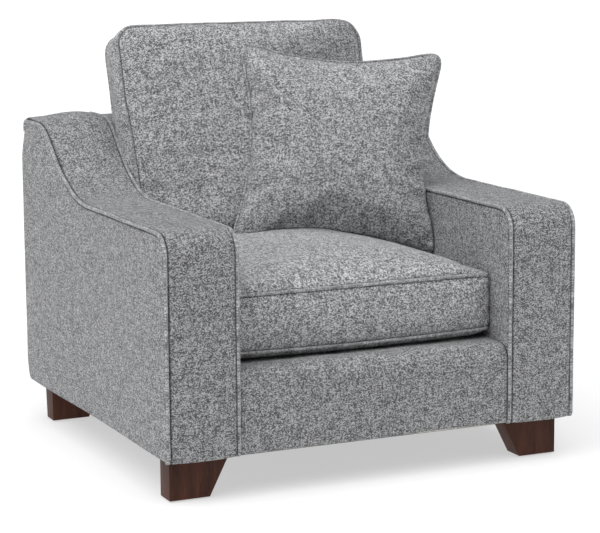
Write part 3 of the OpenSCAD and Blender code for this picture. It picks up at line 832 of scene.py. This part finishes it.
def outsideBack():
    low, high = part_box("outside_back_cover")
    b, heel = backShape, armShape["heel"]
    piece = acrossPiece("outsideBack", low.x, high.x, (high.y - heel - 0.02, low.z), 40)
    pull(0, 0.02, 0, 1)
    bend(high.y - heel, low.z + heel, 90, 6)
    pull(0, 0, high.z - 0.016 - low.z - heel, 24)
    pull(0, -0.004, 0.003, 1)
    path, co, out = unfolded(piece, low.x, (0, 1, -0.2))
    fromSide = high.x - np.abs(co[:, 0])
    fromTop = high.z - 0.014 - co[:, 2]
    rim = np.minimum(fromSide, np.clip(fromTop, 0, 1))
    seam = b["seam"] * np.exp(-((np.abs(co[:, 0]) - innerX - 0.03) / 0.006) ** 2)
    # the sides are drawn in above the heel only, where the padding lies close under the cloth
    fromHeel = smoothStep((co[:, 2] - low.z - heel) / 0.05)
    swell = b["outerSwell"] * smoothStep(rim / 0.10) - b["drawnIn"] * (1 - smoothStep(rim / 0.012)) * fromHeel
    swell = swell + b["heelSwell"] * (1 - fromHeel)
    swell = swell + uneven(co, b["outerWaves"]) * smoothStep(rim / 0.04) - seam
    co = co + out * swell[:, None]
    co[:, 0] *= 1 + armShape["flare"] / halfW
    place(piece, co)
    markSeam(piece, rim)
    subdivide(piece)
    thicken(piece)
    upholster(piece, shadedSideWeave, ["outside_back_cover"], path=path)


railCover()
deckCloth()
insideBack()
outsideBack()
print("rail, deck and back made")


def roughCopy(name, node, voxel, rounds):
    # a closed, evenly gridded copy of a stuffed solid, softened at its edges
    piece = nodes[node].copy()
    piece.data = nodes[node].data.copy()
    piece.name = name
    for key in list(piece.keys()):
        del piece[key]
    piece.parent = None
    scene.collection.objects.link(piece)
    pick(piece)
    openEdit()
    bpy.ops.mesh.remove_doubles(threshold=0.00005)
    bpy.ops.mesh.normals_make_consistent(inside=False)
    closeEdit()
    addModifier(piece, "REMESH", mode="VOXEL", voxel_size=voxel)
    soften(piece, rounds)
    return piece


def swell(piece, held, pressure, most, frames=20, stretch=0.0):
    # cloth filled from inside with its seams held, then no point left further than most from its start
    before = coords(piece)
    group = piece.vertex_groups.new(name="held")
    for i in np.nonzero(held > 0.01)[0]:
        group.add([int(i)], float(min(held[i], 1.0)), "REPLACE")
    modifier = piece.modifiers.new("filled", "CLOTH")
    settings = modifier.settings
    settings.use_pressure = True
    settings.uniform_pressure_force = pressure
    settings.effector_weights.gravity = 0
    settings.mass = 0.35
    settings.tension_stiffness = 22
    settings.compression_stiffness = 22
    settings.shear_stiffness = 8
    settings.bending_stiffness = 1.2
    settings.shrink_min = stretch
    settings.vertex_group_mass = "held"
    modifier.collision_settings.use_collision = False
    modifier.point_cache.frame_start = 1
    modifier.point_cache.frame_end = frames
    for f in range(1, frames + 1):
        scene.frame_set(f)
    pick(piece)
    bpy.ops.object.modifier_apply(modifier="filled")
    moved = coords(piece) - before
    size = np.linalg.norm(moved, axis=1)
    print("  ", piece.name, "moved up to", round(float(size.max()) * 1000, 1), "mm")
    place(piece, before + moved * np.minimum(1, most / np.maximum(size, 1e-9))[:, None])
    piece.vertex_groups.clear()
    scene.frame_set(1)


def snapped(piece, points, out=0.0):
    # the nearest places on a piece, moved out along its surface normal, then evened along the run
    tree = BVHTree.FromObject(piece, bpy.context.evaluated_depsgraph_get())
    found = []
    for where in points:
        spot, normal, _, _ = tree.find_nearest(where)
        found.append(spot + normal * out)
    found = np.array(found)
    for _ in range(3):
        found = found * 0.5 + (np.roll(found, 1, axis=0) + np.roll(found, -1, axis=0)) * 0.25
    return [Vector(f) for f in found]


def pinch(piece, points, depth, width, cordRadius):
    # draws the cloth in along a seam
    co, out = coords(piece), normals(piece)
    away = farFromRing(co, points)
    place(piece, co - out * (depth * np.exp(-(away / width) ** 2))[:, None])
    markSeam(piece, away - 0.75 * cordRadius)


def farFromRing(co, ring):
    tree = treeOf(ring)
    return np.array([tree.find(c)[2] for c in co])


def roundedLoop(low, high, radii, step=0.008):
    # closed rounded rectangle in two axes, corners given as (low low, high low, high high, low high)
    corners = [((low[0], low[1]), radii[0], 180), ((high[0], low[1]), radii[1], 270),
               ((high[0], high[1]), radii[2], 0), ((low[0], high[1]), radii[3], 90)]
    rough = []
    for (cx, cy), r, start in corners:
        mx = cx + r if cx == low[0] else cx - r
        my = cy + r if cy == low[1] else cy - r
        for t in np.linspace(start, start + 90, 8):
            rough.append((mx + r * math.cos(math.radians(t)), my + r * math.sin(math.radians(t))))
    points = []
    for a, b in zip(rough, rough[1:] + rough[:1]):
        count = max(1, int(round(math.dist(a, b) / step)))
        for k in range(count):
            s = k / count
            points.append((a[0] + (b[0] - a[0]) * s, a[1] + (b[1] - a[1]) * s))
    return points


def zipStrip(name, piece, line, side, width, body, replaced):
    # a tape sewn along a line on the piece, with a row of teeth down its middle
    points = snapped(piece, line, 0.0006)[1:-1]
    tape = cordAlong(name, points, 0.0009, False, 6)
    co = coords(tape)
    axis = np.array(Vector(side).normalized())
    tree = treeOf(points)
    for i, c in enumerate(co):
        near, _, _ = tree.find(c)
        off = float((Vector(c) - near).dot(Vector(axis)))
        co[i] = c + axis * off * (width / 0.0018 - 1)
    place(tape, co)
    run = [Vector(p) for p in points]
    teeth = []
    total = sum((b - a).length for a, b in zip(run, run[1:]))
    count = int(total / 0.0042)
    lengths = np.cumsum([0.0] + [(b - a).length for a, b in zip(run, run[1:])])
    for k in range(count):
        s = total * (k + 0.5) / count
        j = int(np.searchsorted(lengths, s)) - 1
        j = min(max(j, 0), len(run) - 2)
        spot = run[j].lerp(run[j + 1], (s - lengths[j]) / max(lengths[j + 1] - lengths[j], 1e-9))
        teeth.append(spot + Vector(axis) * (0.0007 if k % 2 else -0.0007))
    tooth = cube("tooth", 0.0022)
    openEdit()
    bpy.ops.mesh.bevel(offset=0.0004, segments=1)
    closeEdit()
    shape = coords(tooth)
    faces = [tuple(f.vertices) for f in tooth.data.polygons]
    bpy.data.objects.remove(tooth)
    verts, polys = [], []
    for spot in teeth:
        base = len(verts)
        verts += [tuple(Vector(c) + spot) for c in shape]
        polys += [tuple(base + i for i in f) for f in faces]
    mesh = bpy.data.meshes.new(name + "Teeth")
    mesh.from_pydata(verts, [], polys)
    row = bpy.data.objects.new(name + "Teeth", mesh)
    scene.collection.objects.link(row)
    finishPiece(row, body, blackNylon)
    finishPiece(tape, body, zipTape, replaced)


cushionPinch = (0.0042, 0.0085)     # how deep and how wide the seams draw in
seatShape = {"voxel": 0.0075, "rounds": 10, "pressure": 4.0, "most": 0.024, "cordRadius": 0.0044,
             "lowSeam": 0.019, "boxing": 0.140, "corner": 0.016, "sag": 0.006, "widen": 1.009,
             "forward": 0.008, "waves": ((0.085, 0.0016, 41.0), (0.035, 0.0007, 44.0))}


def seatCushion():
    low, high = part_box("seat_cushion_cover")
    s = seatShape
    piece = roughCopy("seatCushion", "seat_cushion_foam", s["voxel"], s["rounds"])
    lowSeam = low.z + s["lowSeam"]
    highSeam = lowSeam + s["boxing"]
    co = coords(piece)
    held = np.exp(-((co[:, 2] - lowSeam) / 0.007) ** 2) + np.exp(-((co[:, 2] - highSeam) / 0.007) ** 2)
    rimX = np.minimum(high.x - np.abs(co[:, 0]), np.minimum(co[:, 1] - low.y, high.y - co[:, 1]))
    held = held * (rimX < 0.03)
    held = np.maximum(held, (co[:, 2] < low.z + 0.012).astype(float))
    swell(piece, held, s["pressure"], s["most"], 20, -0.01)
    soften(piece, 2)
    subdivide(piece)
    co = coords(piece)
    u = np.clip(co[:, 0] / high.x, -1, 1)
    frontness = smoothStep((-0.25 - co[:, 1]) / 0.12)
    co[:, 2] -= s["sag"] * (1 - u * u) * frontness * smoothStep((highSeam - co[:, 2]) / 0.10)
    # the front edge is pushed out to its welts, square at the corners
    co[:, 0] *= 1 + (s["widen"] - 1) * frontness
    co[:, 1] -= s["forward"] * smoothStep((-0.30 - co[:, 1]) / 0.10)
    reach = np.array([high.x * s["widen"], -low.y + s["forward"]])
    fromCorner = np.hypot(reach[0] - np.abs(co[:, 0]), reach[1] + co[:, 1])
    push = 0.007 * np.exp(-(fromCorner / 0.022) ** 2)
    co[:, 0] += np.sign(co[:, 0]) * push
    co[:, 1] -= push
    co[:, 0] = np.clip(co[:, 0], -reach[0], reach[0])
    co[:, 1] = np.clip(co[:, 1], -reach[1] - 0.006, high.y - 0.0002)
    co[:, 2] = np.maximum(co[:, 2], low.z + 0.0002)
    co += normals(piece) * (uneven(co, s["waves"]) * smoothStep((co[:, 2] - low.z) / 0.03))[:, None]
    place(piece, co)
    welts = (("seatCordLow", lowSeam, ()), ("seatCordHigh", highSeam, ("seat_cushion_welts",)))
    for name, z, replaced in welts:
        loop = roundedLoop((low.x + 0.002, low.y - s["forward"] + 0.003), (high.x - 0.002, high.y - 0.003),
                           [s["corner"]] * 4)
        sagZ = [s["sag"] * (1 - (x / high.x) ** 2) * float(smoothStep((-0.25 - y) / 0.12)) * (z < highSeam)
                for x, y in loop]
        seam = snapped(piece, [Vector((x, y, z - g)) for (x, y), g in zip(loop, sagZ)], -0.0008)
        pinch(piece, seam, *cushionPinch, s["cordRadius"])
        seam = [Vector((min(max(p.x, low.x), high.x), min(p.y, high.y - 0.003), p.z)) for p in seam]
        cord = cordAlong(name, seam, s["cordRadius"], True)
        finishCord(cord, "seat_cushion", replaced)
    upholster(piece, litCushionWeave, ["seat_cushion_cover", "seat_cushion_foam"], "seat_cushion")
    zlow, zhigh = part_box("seat_cushion_zip")
    line = [Vector((x, zhigh.y, (zlow.z + zhigh.z) / 2)) for x in np.linspace(zlow.x, zhigh.x, 40)]
    zipStrip("seatZip", piece, line, (0, 0, 1), 0.010, "seat_cushion", ["seat_cushion_zip"])


backCushionShape = {"voxel": 0.0070, "rounds": 10, "pressure": 4.0, "most": 0.024, "cordRadius": 0.0044,
                    "boxing": 0.130, "rise": 0.013, "skew": 0.013, "droop": 0.012, "footY": 0.2045,
                    "corners": (0.018, 0.018, 0.062, 0.046), "loose": 0.009,
                    "waves": ((0.10, 0.0024, 51.0), (0.04, 0.0008, 54.0))}


def backCushion():
    s = backCushionShape
    lean = backShape["lean"]
    turn = Matrix.Rotation(-lean, 3, "X")
    foot = Vector((0, s["footY"], deckZ))
    piece = roughCopy("backCushion", "back_cushion_fill", s["voxel"], s["rounds"])
    toLocal = np.array(turn.inverted())

    def local(co):
        return (co - np.array(foot)) @ toLocal.T

    def world(loc):
        return loc @ np.array(turn).T + np.array(foot)

    loc = local(coords(piece))
    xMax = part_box("back_cushion_cover")[1].x
    bottom, top = loc[:, 2].min(), loc[:, 2].max()
    held = np.exp(-((loc[:, 1] + s["boxing"]) / 0.007) ** 2) + np.exp(-((loc[:, 1] + 0.008) / 0.007) ** 2)
    rim = np.minimum(xMax - np.abs(loc[:, 0]), np.minimum(loc[:, 2] - bottom, top - loc[:, 2]))
    held = held * (rim < 0.03)
    held = np.maximum(held, (loc[:, 1] > -0.010).astype(float))
    swell(piece, held, s["pressure"], s["most"], 20, -0.01)
    soften(piece, 2)
    subdivide(piece)
    co = coords(piece)
    co += normals(piece) * uneven(co, s["waves"])[:, None]
    loc = local(co)
    over = smoothStep((co[:, 2] - 0.62) / 0.08)
    limit = xMax - 0.0004 + s["loose"] * over
    loc[:, 0] = np.clip(loc[:, 0], -limit, limit)
    loc[:, 1] = np.minimum(loc[:, 1], -0.0004)

    def settled(loc):
        # the upper half stands fuller, and its face slides a little to one side
        above = smoothStep((loc[:, 2] - bottom - 0.14) / 0.26)
        loc[:, 2] += s["rise"] * smoothStep((loc[:, 2] - bottom - 0.26) / 0.24)
        corner = smoothStep((loc[:, 0] - 0.24) / 0.12) * smoothStep((loc[:, 2] - top + 0.10) / 0.10)
        loc[:, 2] -= s["droop"] * corner
        loc[:, 0] -= s["skew"] * above * np.clip(-loc[:, 1] / s["boxing"], 0, 1.2)
        return loc

    place(piece, world(settled(loc)))
    welts = (("backCordFront", -s["boxing"], ("back_cushion_welts",)), ("backCordRear", -0.010, ()))
    for name, depth, replaced in welts:
        loop = roundedLoop((-xMax + 0.002, bottom + 0.004), (xMax - 0.002, top + 0.003), s["corners"])
        flat = settled(np.array([(x, depth, z) for x, z in loop]))
        points = [Vector(p) for p in world(flat)]
        seam = snapped(piece, points, -0.0006)
        pinch(piece, seam, *cushionPinch, s["cordRadius"])
        cord = cordAlong(name, seam, s["cordRadius"], True)
        finishCord(cord, "back_cushion", replaced)
    upholster(piece, litCushionWeave, ["back_cushion_cover", "back_cushion_fill"], "back_cushion", turn)
    line = [Vector(world(np.array([x, -0.060, bottom]))) for x in np.linspace(-0.21, 0.21, 40)]
    zipStrip("backZip", piece, line, (0, 1, 0), 0.010, "back_cushion", ["back_cushion_zip"])


pillowShape = {"voxel": 0.0055, "pressure": 4.0, "most": 0.014, "cordRadius": 0.0034, "side": 0.522,
               "thickness": 0.150, "rim": 0.006, "pullIn": 0.037, "ear": 0.13,
               "centre": (0.156, 0.045, 0.712), "yaw": 19.5, "tilt": 18.5, "roll": 3.6, "gap": 0.0012,
               "pinch": (0.0016, 0.009), "squeeze": 0.70, "squeezeReach": 0.024,
               "waves": ((0.05, 0.0015, 63.0),)}


def throwPillow():
    s = pillowShape
    half = s["side"] / 2
    yaw, tilt, roll = (math.radians(s[key]) for key in ("yaw", "tilt", "roll"))
    turn = Matrix.Rotation(-yaw, 3, "Z") @ Matrix.Rotation(-tilt, 3, "X") @ Matrix.Rotation(roll, 3, "Y")
    centre = Vector(s["centre"])
    piece = cube("throwPillow", 2)
    openEdit()
    bpy.ops.mesh.subdivide(number_cuts=40)
    closeEdit()

    def shaped(co):
        # a square whose sides pull in between its corners, fullest in the middle
        ear = s["ear"]
        px, pz = (np.clip((np.abs(co[:, k]) - 1 + ear) / ear, 0, 1) for k in (0, 2))
        disc = np.maximum(px, pz) / np.maximum(np.hypot(px, pz), 1e-6)
        corner = (px > 0) & (pz > 0)
        x = np.where(corner, np.sign(co[:, 0]) * (1 - ear + ear * px * disc), co[:, 0])
        z = np.where(corner, np.sign(co[:, 2]) * (1 - ear + ear * pz * disc), co[:, 2])
        y = co[:, 1]
        pulledX = 1 - s["pullIn"] / half * (1 - z ** 2) ** 1.3
        pulledZ = 1 - s["pullIn"] / half * (1 - x ** 2) ** 1.3
        body = (1 - np.abs(x) ** 2.3) * (1 - np.abs(z) ** 2.3)
        thick = s["rim"] + (s["thickness"] / 2 - s["rim"]) * np.clip(body, 0, 1) ** 0.42
        return np.column_stack((x * half * pulledX, y * thick, z * half * pulledZ))

    place(piece, shaped(coords(piece)))
    addModifier(piece, "REMESH", mode="VOXEL", voxel_size=s["voxel"])
    soften(piece, 3)
    co = coords(piece)
    co += uneven(co, s["waves"])[:, None] * normals(piece)
    place(piece, co)
    fromMiddle = np.maximum(np.abs(co[:, 0]) / (1 - s["pullIn"] / half * (1 - (co[:, 2] / half) ** 2)),
                            np.abs(co[:, 2]) / (1 - s["pullIn"] / half * (1 - (co[:, 0] / half) ** 2)))
    held = ((fromMiddle > half - 0.006) & (np.abs(co[:, 1]) < 0.010)).astype(float)
    swell(piece, held, s["pressure"], s["most"], 20, -0.03)
    subdivide(piece)
    corners = ((-1, -1), (1, -1), (1, 1), (-1, 1), (-1, -1))
    loop = [(x0 + (x1 - x0) * t, 0.0, z0 + (z1 - z0) * t)
            for (x0, z0), (x1, z1) in zip(corners, corners[1:]) for t in np.linspace(0, 1, 62)[:-1]]
    edge = shaped(np.array(loop))
    edge = np.array([np.array(p) for p in snapped(piece, [Vector(e) for e in edge], 0.0004)])
    # both faces run in to the seam, so that the piping stands clear of them
    co = coords(piece)
    away = farFromRing(co, edge)
    co[:, 1] *= 1 - s["squeeze"] * (1 - smoothStep(away / s["squeezeReach"]))
    place(piece, co)
    pinch(piece, [Vector(e) for e in edge], *s["pinch"], s["cordRadius"])
    rotated = np.array(turn)
    graph = bpy.context.evaluated_depsgraph_get()
    seatTree = BVHTree.FromObject(bpy.data.objects["seatCushion"], graph)
    backTree = BVHTree.FromObject(bpy.data.objects["backCushion"], graph)

    def resting(co, gap):
        # flattened where it lies on the seat, leans on the back cushion and meets the arm
        for i, (x, y, z) in enumerate(co):
            under = seatTree.ray_cast(Vector((x, y, 0.80)), Vector((0, 0, -1)))[0]
            if under is not None and z < under.z + gap:
                co[i][2] = under.z + gap
            behind = backTree.ray_cast(Vector((x, -0.35, co[i][2])), Vector((0, 1, 0)))[0]
            if behind is not None and y > behind.y - gap:
                co[i][1] = behind.y - gap
        low = co[:, 2] < 0.72
        co[low, 0] = np.minimum(co[low, 0], innerX - 0.0040 - gap)
        return co

    place(piece, resting(coords(piece) @ rotated.T + np.array(centre), s["gap"]))
    edge = resting(edge @ rotated.T + np.array(centre), s["gap"] + s["cordRadius"])
    cord = cordAlong("pillowPiping", [Vector(e) for e in edge], s["cordRadius"], True)
    finishCord(cord, "throw_pillow", ["pillow_piping"])
    upholster(piece, litPillowWeave, ["pillow_cover", "pillow_insert"], "throw_pillow", turn)
    line = [Vector(rotated @ np.array([x, 0.007, -half + s["pullIn"]]) + np.array(centre))
            for x in np.linspace(-0.15, 0.15, 40)]
    across = tuple(rotated @ np.array([0, 1, 0]))
    zipStrip("pillowZip", piece, line, across, 0.006, "throw_pillow", ["pillow_zip"])


seatCushion()
backCushion()
throwPillow()
print("cushions made")


legShape = {"foot": 0.098, "rake": 0.009, "edge": 0.0022}


def blockLeg(sideX, sideY, name, node):
    low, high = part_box(node)
    middle = [(a + b) / 2 for a, b in zip(low, high)]
    piece = cube(name, 1)
    openEdit()
    bpy.ops.transform.resize(value=(high.x - low.x, high.y - low.y, high.z - low.z - 0.0004))
    bpy.ops.transform.translate(value=middle)
    closeEdit()
    co = coords(piece)
    outerX = max(abs(low.x), abs(high.x))
    foot = co[:, 2] < middle[2]
    co[foot & (np.abs(co[:, 0]) < outerX - 0.01), 0] = sideX * (outerX - legShape["foot"])
    if sideY > 0:
        co[foot & (co[:, 1] > middle[1]), 1] -= legShape["rake"]
    place(piece, co)
    pick(piece)
    openEdit()
    bpy.ops.mesh.bevel(offset=legShape["edge"], segments=3, profile=0.6)
    closeEdit()
    smoothShade(piece, 40)
    finishPiece(piece, "frame", espresso, [node])


for sideX, wordX in ((-1, "Left"), (1, "Right")):
    for sideY, wordY in ((-1, "Front"), (1, "Rear")):
        blockLeg(sideX, sideY, "leg" + wordY + wordX, f"leg_{wordY.lower()}_{wordX.lower()}")
print("legs made")


finishes = {"foam": paleFoam, "fibre_fill": whiteFibre, "plywood": plywood, "hardwood": hardwood,
            "felt": blackFelt, "webbing": strapWeave, "dust_cloth": dustCloth, "stained_wood": espresso,
            "spring_steel": springSteel, "nylon": blackNylon, "zip": zipTape, "upholstery": dustCloth,
            "welt_cord": dustCloth}
for part in frame["record"]["subparts"]:
    node = nodes[part["node"]]
    node.data.materials.clear()
    node.data.materials.append(finishes[part["material_slot"]])

addCamera(cameraView)

studio = {"dome": 0.24, "floor": 0.50, "glow": 0.52,
          "overheadSoftbox": ((-0.5, -0.7, 3.0), 75, 2.6), "leftSoftbox": ((-3.0, -0.2, 2.2), 60, 0.95)}
world = bpy.data.worlds.new("studio")
scene.world = world
world.use_nodes = True
world.node_tree.nodes["Background"].inputs["Color"].default_value = (1, 1, 1, 1)
world.node_tree.nodes["Background"].inputs["Strength"].default_value = studio["dome"]
for name in ("overheadSoftbox", "leftSoftbox"):
    softbox(name, *studio[name])
scene.view_settings.view_transform = "Standard"

bpy.ops.mesh.primitive_plane_add(size=60, location=(0, 0, 0))
floor = bpy.context.object
floor.name = "floor"
floorPaint = Paint("paleFloor")
floor.data.materials.append(floorPaint.finish((*[studio["floor"]] * 3, 1.0), 0.8, Specular_IOR_Level=0.1,
                                              Emission_Color=(1, 1, 1, 1), Emission_Strength=studio["glow"]))

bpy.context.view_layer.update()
